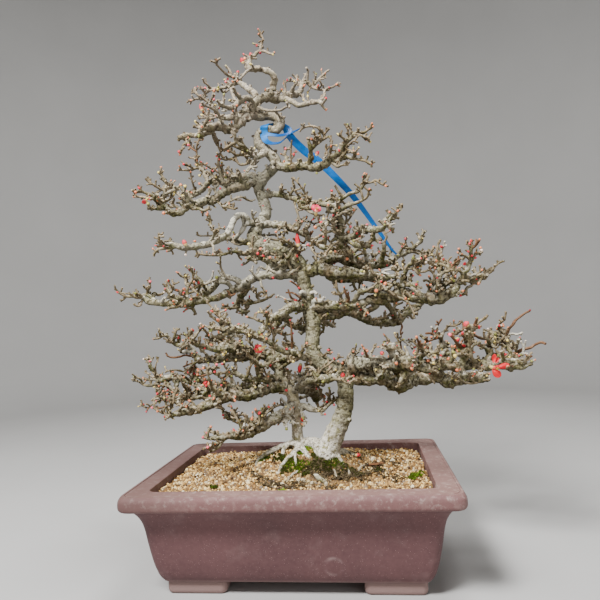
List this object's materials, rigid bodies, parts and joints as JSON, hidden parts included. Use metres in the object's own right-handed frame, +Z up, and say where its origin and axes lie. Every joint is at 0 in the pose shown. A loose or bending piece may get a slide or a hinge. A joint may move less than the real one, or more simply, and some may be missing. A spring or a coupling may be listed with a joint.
{
  "type": "flowering quince bonsai in a pot",
  "caption": "Dwarf flowering quince bonsai with twin stems, bare tiered limbs and opening red buds, in a shallow rectangular clay pot.",
  "frame": {"origin": "under the middle of the whole, at the height of the feet", "axes": "+Z up, +X along the pot to the viewer's right, +Y away from the viewer"},
  "size_m": [0.5464, 0.265, 0.6625],
  "materials": {
    "clay": "unglazed brown-purple stoneware with fine pale specks",
    "soil": "coarse granular bonsai soil, matt",
    "bark": "rough grey-olive bark with lichen",
    "label": "smooth flexible plastic strip",
    "petal": "soft waxy petals, red to pink",
    "leaf": "dry leaf, matt",
    "screen": "moulded plastic mesh"
  },
  "bodies": {
    "root": {"pot": "clay", "soil": "soil", "tree": "bark", "label": "label", "drain_screen_left": "screen", "drain_screen_right": "screen", "fallen_leaf": "leaf", "fallen_bud": "petal", "bud_tall": "petal", "bud_hanging": "petal", "bud_low": "petal", "bud_far_left": "petal", "bud_second_left": "petal", "bud_crown_left": "petal", "bud_crown_top": "petal", "bud_upper_right": "petal", "bud_lower_left": "petal", "bud_crossing": "petal", "bud_stem": "petal", "bud_right_pair": "petal", "bud_right_high": "petal", "bud_right_far": "petal", "bud_pink_side": "petal", "bud_left_tall": "petal", "flower_top": "petal", "flower_left": "petal", "flower_right": "petal"}
  },
  "joints": []
}
